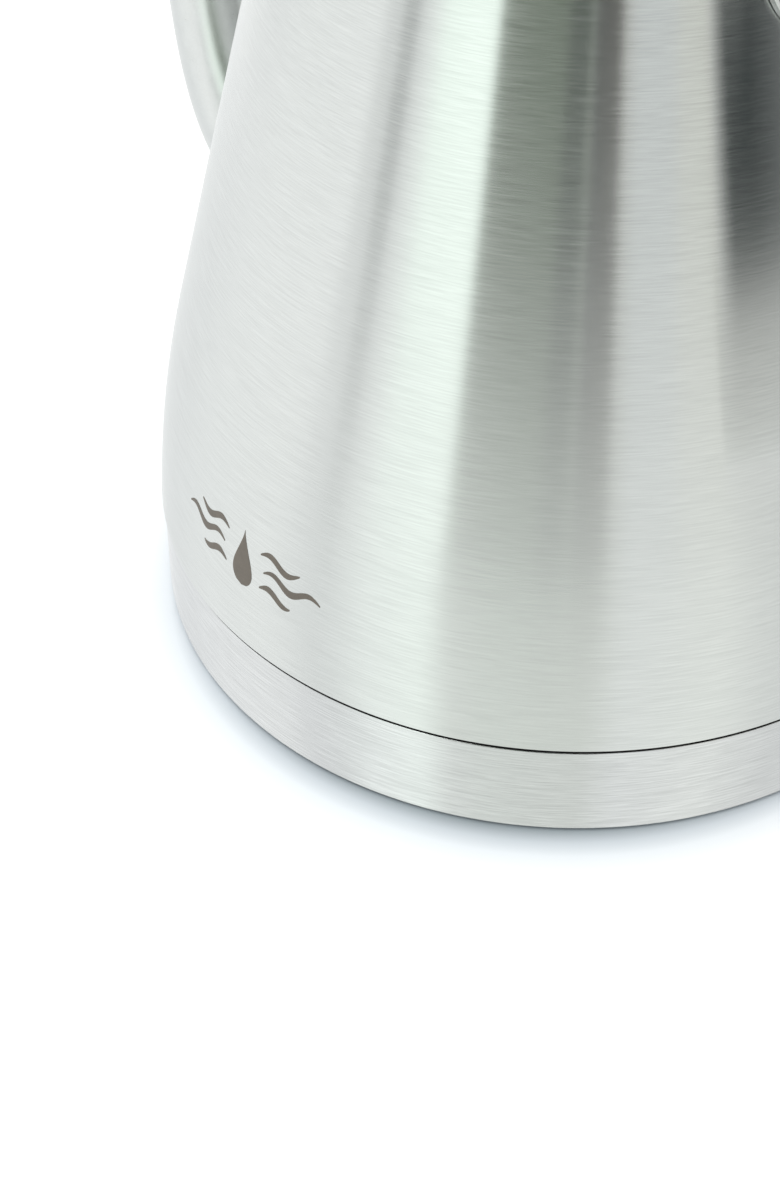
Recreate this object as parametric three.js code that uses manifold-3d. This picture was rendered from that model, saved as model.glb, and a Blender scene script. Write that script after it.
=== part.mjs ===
// A stove-top gooseneck kettle, in millimetres, +Z up.
// The origin is on the vessel's axis, in the plane of the flat base. The spout points along -X and
// the handle along +X. The vessel is a drawn, conical shell closed below by an inner pan; a flat
// base cup sheathes the pan's foot and traps an aluminium heat spreader against its floor.
import * as THREE from "three";
import { mergeVertices } from "three/addons/utils/BufferGeometryUtils.js";
import Module from "manifold-3d";

const wasm = await Module();
wasm.setup();

const { degToRad, smoothstep } = THREE.MathUtils;

// ---- driving dimensions ------------------------------------------------------------------
const CLEAR = 0.3; // gap left between pieces that touch on the real kettle
const ROUND = 40; // sides of the large turned pieces
const MIDDLE = 24; // sides of the knob and other pieces of its size
const FINE = 16; // sides of the spout, screws, bushes and holes

const BODY_R = 74; // the shell's lower edge, the widest part
const SEAM_Z = 19.1; // height of that edge
const RIM_Z = 158; // height of the shell's upper edge
const WALL = 0.8; // sheet of the shell, spout, neck and lid
const FLANK_R = 212; // radius of the flank's curve, seen from the side
const LEAN_LOW = degToRad(2.9); // the flank's lean at the lower edge
const LEAN_HIGH = degToRad(13.3); // its lean on the conical part

const CUP_R = 73.6; // base cup, a little inside the shell's edge
const CUP_TOP = 18.75;
const PAN_R = 72.3; // inner pan, inside both the cup and the shell
const PAN_FLOOR = 5;
const SPREADER_R = 64;

const NECK_R = 40.5; // inside of the neck
const RING_R = 46.7; // ring round the mouth
const RING_TOP = RIM_Z + 1.6;

const SPOUT_Z = 40; // height of the spout's axis where it leaves the shell
const SPOUT_BURIED = 14; // length of that axis inside the shell's outside
const ROOT_RISE = degToRad(9); // the root stands square to the leaning wall
const ROOT_R = 12.2;
const TIP_R = 5.4;
const TIP_X = -150;
const TIP_Z = 167;

const GRIP_START = [44, 142]; // the grip's centre line, as [x, z]: it starts inside the shell,
const GRIP_RISE = degToRad(14); // rises,
const GRIP_REACH = [118, 120]; // turns down,
const GRIP_END = [111, 64]; // and ends free
const SADDLE_T = 1.8; // plate of the handle's saddle
const TANG_T = 3; // flat tang inside the grip
const TANG_END = 0.62; // share of the grip's length that the tang reaches
const SCREW_SHARES = [0.3, 0.57]; // the grip's screws, as shares of its length

const SHANK_R = 1.8; // all screws
const HEAD_R = 3.7; // heads of the grip's screws and nuts
const HEAD_H = 2.2;
const SEAT_Y = 7.2; // distance of their seats from the grip's parting plane
const BARREL_R = 2.9; // sleeve of a grip nut, which takes the screw

const LID_Z = RING_TOP + CLEAR;
const LID_R = RING_R - 1.1;
const LID_RISE = 11.4; // from the lid's edge to the top of its dome
const LID_LIP = 1.8; // upright part of the lid's edge
const COLLAR_R = NECK_R - 2; // the collar under the lid, which drops into the neck
const COLLAR_Z = RIM_Z - 10.6;
const SEAL_Z = RIM_Z - 7;
const KNOB_R = 13.6;
const KNOB_H = 20;
const INSERT_R = 3.6; // brass insert in the knob
const INSERT_H = 11;

// ---- solids and meshes -------------------------------------------------------------------
function solidOf(geometry) {
  const bare = geometry.clone();
  bare.deleteAttribute("normal");
  bare.deleteAttribute("uv");
  const merged = mergeVertices(bare, 1e-4);
  const vertProperties = merged.attributes.position.array;
  const triVerts = new Uint32Array(merged.index.array);
  return new wasm.Manifold(new wasm.Mesh({ numProp: 3, vertProperties, triVerts }));
}

function geometryOf(solid) {
  const { vertProperties, triVerts } = solid.getMesh();
  const geometry = new THREE.BufferGeometry();
  geometry.setAttribute("position", new THREE.BufferAttribute(vertProperties, 3));
  geometry.setIndex(new THREE.BufferAttribute(triVerts, 1));
  geometry.computeVertexNormals();
  return geometry;
}

function cutFrom(solid, cutters) {
  return cutters.reduce((left, cutter) => left.subtract(cutter), solid);
}

function evenly(steps, from = 0, to = 1) {
  return Array.from({ length: steps + 1 }, (_, i) => from + ((to - from) * i) / steps);
}

// A body turned about +Z from [radius, height] corners, in order up the outside and down the
// inside. It starts and ends on the axis, or closes on itself.
function turned(corners, sides = ROUND) {
  const points = corners.map(([r, z]) => new THREE.Vector2(r, z));
  if (corners[0][0] > 0) points.push(points[0].clone());
  return new THREE.LatheGeometry(points, sides).rotateX(Math.PI / 2);
}

function rod(radius, from, to, sides = FINE) {
  return turned([[0, from], [radius, from], [radius, to], [0, to]], sides);
}

// A rod along Y through (x, z), from y0 to y1.
function crossRod(radius, { x, z }, y0, y1) {
  return solidOf(rod(radius, -y1, -y0).rotateX(Math.PI / 2).translate(x, 0, z));
}

function block(x0, x1, y0, y1, z0, z1) {
  const box = new THREE.BoxGeometry(x1 - x0, y1 - y0, z1 - z0);
  return solidOf(box.translate((x0 + x1) / 2, (y0 + y1) / 2, (z0 + z1) / 2));
}

const inPlane = (x, z) => new THREE.Vector3(x, 0, z);

function pathOf(...pieces) {
  const path = new THREE.CurvePath();
  pieces.forEach((piece) => path.add(piece));
  path.arcLengthDivisions = 400;
  return path;
}

// A body swept along a curve in the XZ plane, with a section at each of the shares of its length
// in stations. size(u) gives the half height in that plane and the half width across it. With a
// bore(u), which gives the same for the inside, the body is a pipe.
function swept(curve, size, stations, sides, bore) {
  const position = [];
  const index = [];
  const skin = (half) => {
    const first = position.length / 3;
    for (const u of stations) {
      const centre = curve.getPointAt(u);
      const along = curve.getTangentAt(u);
      const [high, wide] = half(u);
      for (let j = 0; j < sides; j++) {
        const turn = (2 * Math.PI * j) / sides;
        const up = high * Math.cos(turn);
        position.push(centre.x - along.z * up, -wide * Math.sin(turn), centre.z + along.x * up);
      }
    }
    return first;
  };
  const quad = (a, b, c, d) => index.push(a, b, c, a, c, d);
  const outside = skin(size);
  const inside = bore ? skin(bore) : 0;
  const last = (stations.length - 1) * sides;
  for (let j = 0; j < sides; j++) {
    const k = (j + 1) % sides;
    for (let i = 0; i < last; i += sides) {
      quad(outside + i + j, outside + i + k, outside + i + sides + k, outside + i + sides + j);
      if (bore) quad(inside + i + k, inside + i + j, inside + i + sides + j, inside + i + sides + k);
    }
    if (bore) {
      quad(outside + k, outside + j, inside + j, inside + k);
      quad(outside + last + j, outside + last + k, inside + last + k, inside + last + j);
    } else if (j > 1) {
      index.push(0, j, j - 1);
      index.push(last, last + j - 1, last + j);
    }
  }
  const geometry = new THREE.BufferGeometry();
  geometry.setAttribute("position", new THREE.Float32BufferAttribute(position, 3));
  geometry.setIndex(index);
  return geometry;
}

// ---- the shell's flank -------------------------------------------------------------------
const CURVE_RISE = FLANK_R * (Math.sin(LEAN_HIGH) - Math.sin(LEAN_LOW)); // height of the curve
const CONE_R = BODY_R - FLANK_R * (Math.cos(LEAN_LOW) - Math.cos(LEAN_HIGH)); // radius above it

// The shell's outer radius at a height: a curve that leans in, then a straight cone.
function flank(z) {
  const rise = z - SEAM_Z;
  if (rise > CURVE_RISE) return CONE_R - (rise - CURVE_RISE) * Math.tan(LEAN_HIGH);
  const lean = Math.asin(rise / FLANK_R + Math.sin(LEAN_LOW));
  return BODY_R - FLANK_R * (Math.cos(LEAN_LOW) - Math.cos(lean));
}

function flankLine(inset) {
  const heights = [...evenly(5, SEAM_Z, SEAM_Z + CURVE_RISE), RIM_Z];
  return heights.map((z) => [flank(z) - inset, z]);
}

// Everything within a distance of the shell's outside, for trimming what is fixed to it.
function withinFlank(distance) {
  return solidOf(turned([[0, 0], [BODY_R, 0], ...flankLine(-distance), [0, RIM_Z]]));
}

// ---- spout -------------------------------------------------------------------------------
const SPOUT_START = flank(SPOUT_Z) - SPOUT_BURIED; // distance of its axis's start from the vessel's
const SPOUT_STATIONS = evenly(32);

// The spout's axis leaves the wall square, turns up, leans out a little and ends level.
const spoutPath = (() => {
  const outward = (angle) => inPlane(-Math.cos(angle), Math.sin(angle));
  const start = inPlane(-SPOUT_START, SPOUT_Z);
  const bend = start.clone().addScaledVector(outward(ROOT_RISE), 27);
  const middle = inPlane(-110, 98);
  const middleRise = outward(degToRad(80));
  const straight = inPlane(TIP_X + 9, TIP_Z);
  return pathOf(
    new THREE.LineCurve3(start, bend),
    new THREE.CubicBezierCurve3(
      bend,
      bend.clone().addScaledVector(outward(ROOT_RISE), 19),
      middle.clone().addScaledVector(middleRise, -24),
      middle,
    ),
    new THREE.CubicBezierCurve3(
      middle,
      middle.clone().addScaledVector(middleRise, 34),
      straight.clone().addScaledVector(outward(0), -24),
      straight,
    ),
    new THREE.LineCurve3(straight, inPlane(TIP_X, TIP_Z)),
  );
})();

// The spout narrows quickly above its root and gently towards its tip.
function spoutSize(u, inset = 0) {
  const radius = TIP_R + (ROOT_R - TIP_R) * (1 - u) ** 1.6 - inset;
  return [radius, radius];
}

// The spout as a full rod, that much thicker all round.
function spoutRod(extra) {
  return solidOf(swept(spoutPath, (u) => spoutSize(u, -extra), SPOUT_STATIONS, FINE));
}

function spoutTube() {
  const bore = (u) => spoutSize(u, WALL);
  const tube = solidOf(swept(spoutPath, spoutSize, SPOUT_STATIONS, FINE, bore));
  return geometryOf(tube.subtract(withinFlank(CLEAR)));
}

// A flared weld collar round the spout's root, turned about the root's axis.
function spoutCollar() {
  const buried = SPOUT_BURIED - 6;
  const flare = [
    [ROOT_R + 4.6, buried],
    [ROOT_R + 3.4, SPOUT_BURIED + 1.8],
    [ROOT_R + 1.6, SPOUT_BURIED + 3.6],
    [ROOT_R + 0.9, SPOUT_BURIED + 6.5],
  ];
  const collar = turned([[0, buried], ...flare, [0, SPOUT_BURIED + 6.5]], MIDDLE)
    .rotateY(ROOT_RISE - Math.PI / 2)
    .translate(-SPOUT_START, 0, SPOUT_Z);
  return geometryOf(cutFrom(solidOf(collar), [spoutRod(CLEAR), withinFlank(CLEAR)]));
}

// ---- vessel and base ---------------------------------------------------------------------
function bodyShell() {
  const shell = solidOf(turned([...flankLine(0), ...flankLine(WALL).reverse()]));
  return geometryOf(shell.subtract(spoutRod(-WALL)));
}

// The pan's upper edge is drawn in, to slip inside the leaning shell.
function vesselPan() {
  const wall = 0.7;
  const corner = 4.5;
  const top = 27;
  const drawn = 0.9;
  const inner = PAN_R - wall;
  const floorTop = PAN_FLOOR + wall;
  return turned([
    [0, PAN_FLOOR],
    [PAN_R - corner, PAN_FLOOR],
    [PAN_R - 0.3 * corner, PAN_FLOOR + 0.3 * corner],
    [PAN_R, PAN_FLOOR + corner],
    [PAN_R, top - 6],
    [PAN_R - drawn, top],
    [inner - drawn, top],
    [inner, top - 6],
    [inner, floorTop + corner],
    [PAN_R - corner, floorTop],
    [0, floorTop],
  ]);
}

function heatSpreader() {
  const bevel = 0.6;
  const low = WALL + CLEAR;
  const high = PAN_FLOOR - CLEAR;
  return turned([
    [0, low],
    [SPREADER_R - bevel, low],
    [SPREADER_R, low + bevel],
    [SPREADER_R, high - bevel],
    [SPREADER_R - bevel, high],
    [0, high],
  ]);
}

function baseCup() {
  const edge = 1.2; // rounding where the cup meets the table
  const lip = 0.25;
  const inner = CUP_R - WALL;
  return turned([
    [0, 0],
    [CUP_R - edge, 0],
    [CUP_R - 0.3 * edge, 0.3 * edge],
    [CUP_R, edge],
    [CUP_R, CUP_TOP - lip],
    [CUP_R - lip, CUP_TOP],
    [inner, CUP_TOP],
    [inner, edge + WALL],
    [inner - edge, WALL],
    [0, WALL],
  ]);
}

// The neck sleeve, with a flange over the shell's edge that is rolled down outside it.
function mouthRing() {
  const depth = 13;
  const turnedDown = 2.2;
  const sleeve = NECK_R + WALL;
  const flange = RIM_Z + CLEAR;
  const lip = flank(RIM_Z - turnedDown) + CLEAR;
  return turned([
    [NECK_R, RIM_Z - depth],
    [sleeve, RIM_Z - depth],
    [sleeve, flange],
    [lip, flange],
    [lip, RIM_Z - turnedDown],
    [RING_R - 0.5, RIM_Z - turnedDown],
    [RING_R, RIM_Z - turnedDown + 0.8],
    [RING_R, RING_TOP - 1.1],
    [RING_R - 1.1, RING_TOP],
    [NECK_R + 0.6, RING_TOP],
    [NECK_R, RING_TOP - 0.6],
  ]);
}

// ---- handle ------------------------------------------------------------------------------
const gripPath = (() => {
  const outward = inPlane(Math.cos(GRIP_RISE), Math.sin(GRIP_RISE));
  const start = inPlane(...GRIP_START);
  const elbow = start.clone().addScaledVector(outward, 31);
  const reach = inPlane(...GRIP_REACH);
  const end = inPlane(...GRIP_END);
  const above = (point, rise) => inPlane(point.x, point.z + rise);
  return pathOf(
    new THREE.LineCurve3(start, elbow),
    new THREE.CubicBezierCurve3(
      elbow,
      elbow.clone().addScaledVector(outward, 22),
      above(reach, 24),
      reach,
    ),
    new THREE.CubicBezierCurve3(reach, above(reach, -18), inPlane(end.x + 5, end.z + 16), end),
  );
})();
const GRIP_LENGTH = gripPath.getLength();
const GRIP_STATIONS = [...evenly(30, 0, 0.955), 0.968, 0.98, 0.99, 0.997, 1];
const screwSpots = SCREW_SHARES.map((u) => gripPath.getPointAt(u));

// Half height and half width of the grip: deep at the root, slim at the elbow, full in the palm
// and rounded off at the free end.
function gripSize(u) {
  const root = 1 - smoothstep(u, 0.05, 0.42);
  const palm = Math.sin(Math.PI * smoothstep(u, 0.38, 1.15)) ** 2;
  const rounding = 7;
  const fromEnd = Math.min(1, ((1 - u) * GRIP_LENGTH) / rounding);
  const close = Math.sqrt(Math.max(0.04, 1 - (1 - fromEnd) ** 2));
  return [(7.6 + 3.4 * root + 1.6 * palm) * close, (9.6 + 0.6 * root + 1.2 * palm) * close];
}

function gripSolid(extra = 0) {
  const size = (u) => gripSize(u).map((half) => half + extra);
  return solidOf(swept(gripPath, size, GRIP_STATIONS, MIDDLE));
}

// The tang: a flat plate down the middle of the grip, as far as its second screw.
function tangSolid(extra = 0) {
  const half = 4.5 + extra;
  const edge = (side) =>
    evenly(12, 0, TANG_END).map((u) => {
      const spot = gripPath.getPointAt(u);
      const along = gripPath.getTangentAt(u);
      return new THREE.Vector2(spot.x - along.z * side * half, spot.z + along.x * side * half);
    });
  const outline = new THREE.Shape([...edge(-1), ...edge(1).reverse()]);
  const depth = TANG_T + 2 * extra;
  const plate = new THREE.ExtrudeGeometry(outline, { depth, bevelEnabled: false });
  return solidOf(plate.rotateX(Math.PI / 2).translate(0, depth / 2, 0));
}

// The saddle plate follows the shell, and the tang is welded to it.
function handleBracket() {
  const [x, z] = GRIP_START;
  const outline = new THREE.Shape();
  outline.absellipse(0, 0, 12.8, 12.8, 0, 2 * Math.PI);
  const column = new THREE.ExtrudeGeometry(outline, { depth: 20, bevelEnabled: false })
    .rotateY(Math.PI / 2)
    .translate(x - 10, 0, z);
  const saddle = solidOf(column)
    .intersect(withinFlank(CLEAR + SADDLE_T))
    .subtract(withinFlank(CLEAR));
  const tang = tangSolid().subtract(withinFlank(CLEAR + SADDLE_T / 2));
  const holes = screwSpots.map((spot) => crossRod(SHANK_R + CLEAR, spot, -TANG_T, TANG_T));
  return geometryOf(cutFrom(saddle.add(tang), holes));
}

function handleFerrule() {
  const end = gripPath.getPointAt(0.105).x;
  const band = gripSolid(1.1).intersect(block(0, end, -BODY_R, BODY_R, 0, RIM_Z));
  return geometryOf(cutFrom(band, [gripSolid(CLEAR), withinFlank(SADDLE_T + 2 * CLEAR)]));
}

// Half of the grip, on the -Y or +Y side, hollowed for the tang and for its fasteners.
function gripHalf(side, fastenerR) {
  const [near, far] = [CLEAR / 2, 20];
  const along = (from, to) => (side < 0 ? [-to, -from] : [from, to]);
  const half = block(0, GRIP_REACH[0] + far, ...along(near, far), 0, RIM_Z);
  const hollows = screwSpots.flatMap((spot) => [
    crossRod(fastenerR + CLEAR, spot, -far, far),
    crossRod(HEAD_R + CLEAR, spot, ...along(SEAT_Y, far)),
  ]);
  const whole = gripSolid().intersect(half);
  const trims = [withinFlank(SADDLE_T + 2 * CLEAR), tangSolid(CLEAR)];
  return geometryOf(cutFrom(whole, [...trims, ...hollows]));
}

function gripScrew(spot) {
  const seat = -SEAT_Y - CLEAR;
  const top = seat - HEAD_H;
  const head = crossRod(HEAD_R, spot, top, seat);
  const shank = crossRod(SHANK_R, spot, seat - HEAD_H / 2, SEAT_Y - 1.2);
  const slot = block(spot.x - 5, spot.x + 5, top - 1, top + 0.8, spot.z - 0.5, spot.z + 0.5);
  return geometryOf(head.add(shank).subtract(slot));
}

function gripNut(spot) {
  const seat = SEAT_Y + CLEAR;
  const head = crossRod(HEAD_R, spot, seat, seat + HEAD_H);
  const barrel = crossRod(BARREL_R, spot, TANG_T / 2 + CLEAR, seat + HEAD_H / 2);
  const thread = crossRod(SHANK_R + CLEAR, spot, 0, SEAT_Y);
  return geometryOf(head.add(barrel).subtract(thread));
}

// ---- lid ---------------------------------------------------------------------------------
const DOME_Z = LID_Z + LID_RISE;
const DOME_RISE = LID_RISE - LID_LIP;
const DOME_R = (LID_R ** 2 + DOME_RISE ** 2) / (2 * DOME_RISE);
const SCREW_HOLE = SHANK_R + CLEAR;

// Height of the dome's outside at a radius.
function dome(r) {
  return DOME_Z - DOME_R + Math.sqrt(DOME_R ** 2 - r ** 2);
}

function domeLine(from, to, drop) {
  return evenly(4, from, to).map((r) => [r, dome(r) - drop]);
}

// The cover has three steam holes in an arc on the handle's side.
function lidCover() {
  const inner = LID_R - WALL;
  const cover = turned([
    ...domeLine(SCREW_HOLE, inner, WALL),
    [inner, LID_Z],
    [LID_R, LID_Z],
    ...domeLine(LID_R, SCREW_HOLE, 0),
  ]);
  const holes = [-8, 0, 8].map(degToRad).map((turn) => {
    const hole = rod(1.3, LID_Z, DOME_Z);
    return solidOf(hole.translate(31 * Math.cos(turn), 31 * Math.sin(turn), 0));
  });
  return geometryOf(cutFrom(solidOf(cover), holes));
}

// The collar is open below, so that the knob's screw can be reached. It ends in a narrow flange.
function lidCollar() {
  const corner = 1.2;
  const inner = COLLAR_R - WALL;
  const flange = inner - 3;
  const top = dome(COLLAR_R) - WALL - CLEAR;
  return turned([
    [flange, COLLAR_Z],
    [COLLAR_R - corner, COLLAR_Z],
    [COLLAR_R, COLLAR_Z + corner],
    [COLLAR_R, top],
    [inner, top],
    [inner, COLLAR_Z + WALL],
    [flange, COLLAR_Z + WALL],
  ]);
}

// A ring with two soft lips.
function lidSeal() {
  const inner = COLLAR_R + CLEAR;
  const lip = NECK_R - CLEAR;
  return turned([
    [inner, SEAL_Z],
    [inner + 0.8, SEAL_Z],
    [lip, SEAL_Z + 0.8],
    [lip - 0.5, SEAL_Z + 1.8],
    [lip - 0.5, SEAL_Z + 2.4],
    [lip, SEAL_Z + 3.4],
    [inner + 0.8, SEAL_Z + 4.4],
    [inner, SEAL_Z + 4.4],
  ]);
}

const FERRULE_Z = DOME_Z + CLEAR;
const KNOB_Z = FERRULE_Z + 1.6 + CLEAR;

function knobFerrule() {
  const radius = 10;
  const top = KNOB_Z - CLEAR;
  const outside = [[radius, FERRULE_Z], [radius, top - 0.5], [radius - 0.8, top]];
  return turned([[SCREW_HOLE, FERRULE_Z], ...outside, [SCREW_HOLE, top]], MIDDLE);
}

function lidKnob() {
  const bore = INSERT_R + CLEAR;
  const roof = KNOB_Z + INSERT_H + 2 * CLEAR;
  const outside = [
    [8.6, 0],
    [8.1, 3],
    [8.9, 6.5],
    [12, 10.5],
    [KNOB_R, 14.2],
    [KNOB_R - 0.7, 17.2],
    [KNOB_R - 4, KNOB_H - 0.7],
    [0, KNOB_H],
  ];
  const profile = outside.map(([r, rise]) => [r, KNOB_Z + rise]);
  return turned([[bore, KNOB_Z], ...profile, [0, roof], [bore, roof]], MIDDLE);
}

function knobInsert() {
  const low = KNOB_Z + CLEAR;
  const high = KNOB_Z + INSERT_H;
  return turned([[SCREW_HOLE, low], [INSERT_R, low], [INSERT_R, high], [SCREW_HOLE, high]], FINE);
}

const WASHER_R = 5.2;
const WASHER_TOP = dome(WASHER_R) - WALL - CLEAR;
const WASHER_LOW = WASHER_TOP - 0.8;

function knobWasher() {
  const outside = [[WASHER_R, WASHER_LOW], [WASHER_R, WASHER_TOP]];
  return turned([[SCREW_HOLE, WASHER_LOW], ...outside, [SCREW_HOLE, WASHER_TOP]], FINE);
}

// A cross-slotted screw, its head down.
function knobScrew() {
  const seat = WASHER_LOW - CLEAR;
  const low = seat - 2.6;
  const top = KNOB_Z + INSERT_H - 1;
  const head = [[HEAD_R - 1, low], [HEAD_R, low + 1], [HEAD_R, seat]];
  const screw = turned([[0, low], ...head, [SHANK_R, seat], [SHANK_R, top], [0, top]], FINE);
  const slots = [
    block(-5, 5, -0.5, 0.5, low - 1, low + 1.1),
    block(-0.5, 0.5, -5, 5, low - 1, low + 1.1),
  ];
  return geometryOf(cutFrom(solidOf(screw), slots));
}

// ---- materials and assembly --------------------------------------------------------------
const metal = (color, roughness) => new THREE.MeshStandardMaterial({ color, roughness, metalness: 1 });
const plastic = (color, roughness) => new THREE.MeshStandardMaterial({ color, roughness, metalness: 0 });

const brushedSteel = metal(0xc9cbc9, 0.34);
const satinSteel = metal(0xb9bbbb, 0.26);
const aluminium = metal(0xc4c6c8, 0.5);
const brass = metal(0xb89a52, 0.35);
const phenolic = plastic(0x16171a, 0.42);
const silicone = plastic(0xd6d8d6, 0.6);

const kettle = new THREE.Group();

function place(name, geometry, material) {
  const mesh = new THREE.Mesh(geometry, material);
  mesh.name = name;
  kettle.add(mesh);
}

place("body_shell", bodyShell(), brushedSteel);
place("vessel_pan", vesselPan(), satinSteel);
place("heat_spreader", heatSpreader(), aluminium);
place("base_cup", baseCup(), brushedSteel);
place("mouth_ring", mouthRing(), satinSteel);
place("spout_tube", spoutTube(), brushedSteel);
place("spout_collar", spoutCollar(), satinSteel);

place("handle_bracket", handleBracket(), satinSteel);
place("handle_ferrule", handleFerrule(), satinSteel);
place("grip_front", gripHalf(-1, SHANK_R), phenolic);
place("grip_back", gripHalf(1, BARREL_R), phenolic);
screwSpots.forEach((spot, i) => {
  place(`grip_screw_${i + 1}`, gripScrew(spot), satinSteel);
  place(`grip_nut_${i + 1}`, gripNut(spot), satinSteel);
});

place("lid_cover", lidCover(), brushedSteel);
place("lid_collar", lidCollar(), satinSteel);
place("lid_seal", lidSeal(), silicone);
place("knob_ferrule", knobFerrule(), satinSteel);
place("lid_knob", lidKnob(), phenolic);
place("knob_insert", knobInsert(), brass);
place("knob_washer", knobWasher(), satinSteel);
place("knob_screw", knobScrew(), satinSteel);

export default kettle;
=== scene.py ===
"""A stove-top gooseneck kettle in brushed stainless steel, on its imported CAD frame.

Lengths are in metres in the frame's own axes: +Z up, the spout along -X, the handle along +X.
Turned pieces take their radii and heights from the CAD nodes that they stand for.
"""
import math

import bmesh
import bpy
from mathutils import Matrix, Vector


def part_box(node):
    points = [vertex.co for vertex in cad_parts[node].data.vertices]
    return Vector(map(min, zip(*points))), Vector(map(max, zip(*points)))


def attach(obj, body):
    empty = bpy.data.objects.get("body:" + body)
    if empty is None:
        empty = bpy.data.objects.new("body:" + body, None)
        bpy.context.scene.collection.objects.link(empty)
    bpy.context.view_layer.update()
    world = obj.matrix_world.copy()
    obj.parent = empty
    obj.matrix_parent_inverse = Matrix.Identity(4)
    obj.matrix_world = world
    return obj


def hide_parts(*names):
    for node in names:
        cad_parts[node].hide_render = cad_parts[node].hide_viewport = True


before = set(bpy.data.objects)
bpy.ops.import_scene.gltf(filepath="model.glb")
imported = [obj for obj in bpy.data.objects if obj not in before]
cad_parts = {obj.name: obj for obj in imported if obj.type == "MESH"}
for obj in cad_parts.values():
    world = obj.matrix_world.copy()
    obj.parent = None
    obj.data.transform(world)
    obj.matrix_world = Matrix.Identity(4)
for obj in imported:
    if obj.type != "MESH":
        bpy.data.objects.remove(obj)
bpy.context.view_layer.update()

MM = 0.001
CLEAR = 0.3 * MM  # gap between pieces that touch
WALL = 0.8 * MM  # sheet of the shell, spout, neck and lid
SHARP = 32  # degrees between faces, beyond which an edge isn't shaded smooth
PATH_STEPS = 200  # straight pieces that a Bezier stretch is measured by

# ---- the frame's sizes -------------------------------------------------------------------
shell_low, shell_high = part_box("body_shell")
BODY_R = shell_high.x
SEAM_Z = shell_low.z
RIM_Z = shell_high.z
FLANK_R = 212 * MM  # of the bulge between the foot and the cone
LEAN_LOW = math.radians(2.9)  # the flank's lean at the seam
LEAN_HIGH = math.radians(13.3)  # the cone's lean

SPOUT_Z = 40 * MM  # where the spout's axis starts
SPOUT_BURIED = 14 * MM  # from there to the wall
ROOT_RISE = math.radians(9)
ROOT_R = 12.2 * MM
TIP_R = 5.4 * MM

# The grip's axis passes through these points, given as x and z.
GRIP_START = (44 * MM, 142 * MM)
GRIP_REACH = (118 * MM, 120 * MM)
GRIP_END = (111 * MM, 64 * MM)
GRIP_RISE = math.radians(14)  # at its start
TANG_END = 0.62  # share of the grip's length
SCREW_SHARES = (0.3, 0.57)  # of the grip's length
SADDLE_T = 1.8 * MM
SHANK_R = 1.8 * MM
HEAD_R = 3.7 * MM
HEAD_H = 2.2 * MM
SEAT_Y = 7.2 * MM  # of a fastener's head, from the grip's parting plane
BARREL_R = 2.9 * MM
SLOT = (10 * MM, 1 * MM)  # length and width of a fastener's slot
SLOT_DEPTH = 0.8 * MM

CAMERA_TURN = math.radians(46)  # from straight in front of -Y, towards the handle
CAMERA_SIDE = CAMERA_TURN - math.pi / 2
EMBLEM_AZIMUTH = math.radians(-90)
EMBLEM_Z = 36.5 * MM


# ---- meshes ------------------------------------------------------------------------------
def new_object(name, data):
    item = bpy.data.objects.new(name, data)
    bpy.context.scene.collection.objects.link(item)
    return item


def mesh_object(name, points, faces, sharp=SHARP):
    mesh = bpy.data.meshes.new(name)
    mesh.from_pydata(points, [], faces)
    mesh.update()
    bm = bmesh.new()
    bm.from_mesh(mesh)
    bmesh.ops.recalc_face_normals(bm, faces=bm.faces)
    bm.to_mesh(mesh)
    bm.free()
    piece = new_object(name, mesh)
    smooth(piece, sharp)
    return piece


def smooth(piece, sharp=SHARP):
    piece.data.shade_smooth()
    piece.data.set_sharp_from_angle(angle=math.radians(sharp))


def rounded(corners, closed=True, steps=5):
    """A profile whose corners, given as (radius, height) or (radius, height, fillet), are filleted.

    A short straight run is kept beside each fillet, so that flat faces stay flat when shaded."""
    run = 0.3  # of the fillet
    count = len(corners)
    profile = []
    for i, corner in enumerate(corners):
        here = Vector(corner[:2])
        fillet = corner[2] if len(corner) > 2 else 0
        at_end = not closed and i in (0, count - 1)
        if fillet == 0 or at_end:
            profile.append(here)
            continue
        back = (Vector(corners[i - 1][:2]) - here).normalized()
        on = (Vector(corners[(i + 1) % count][:2]) - here).normalized()
        half = back.angle(on) / 2
        reach = fillet / math.tan(half)
        centre = here + (back + on).normalized() * fillet / math.sin(half)
        start, end = here + back * reach, here + on * reach
        profile.append(start + back * run * fillet)
        first, last = start - centre, end - centre
        turn = math.atan2(first.x * last.y - first.y * last.x, first.dot(last))
        for step in range(steps + 1):
            spin = Matrix.Rotation(turn * step / steps, 2)
            profile.append(centre + spin @ first)
        profile.append(end + on * run * fillet)
    return [tuple(point) for point in profile]


def revolve(name, profile, sides=160, sharp=SHARP):
    """A closed body turned about +Z. A profile that starts off the axis is a closed loop."""
    on_axis = 1e-7
    points, rings = [], []
    for radius, height in profile:
        first = len(points)
        if radius < on_axis:
            points.append((0, 0, height))
            rings.append([first] * sides)
            continue
        for i in range(sides):
            turn = 2 * math.pi * i / sides
            points.append((radius * math.cos(turn), radius * math.sin(turn), height))
        rings.append(list(range(first, first + sides)))
    pairs = list(zip(rings, rings[1:]))
    if profile[0][0] > on_axis:
        pairs.append((rings[-1], rings[0]))
    faces = []
    for low, high in pairs:
        for i in range(sides):
            j = (i + 1) % sides
            face = list(dict.fromkeys((low[i], low[j], high[j], high[i])))
            if len(face) > 2:
                faces.append(face)
    return mesh_object(name, points, faces, sharp)


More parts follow.
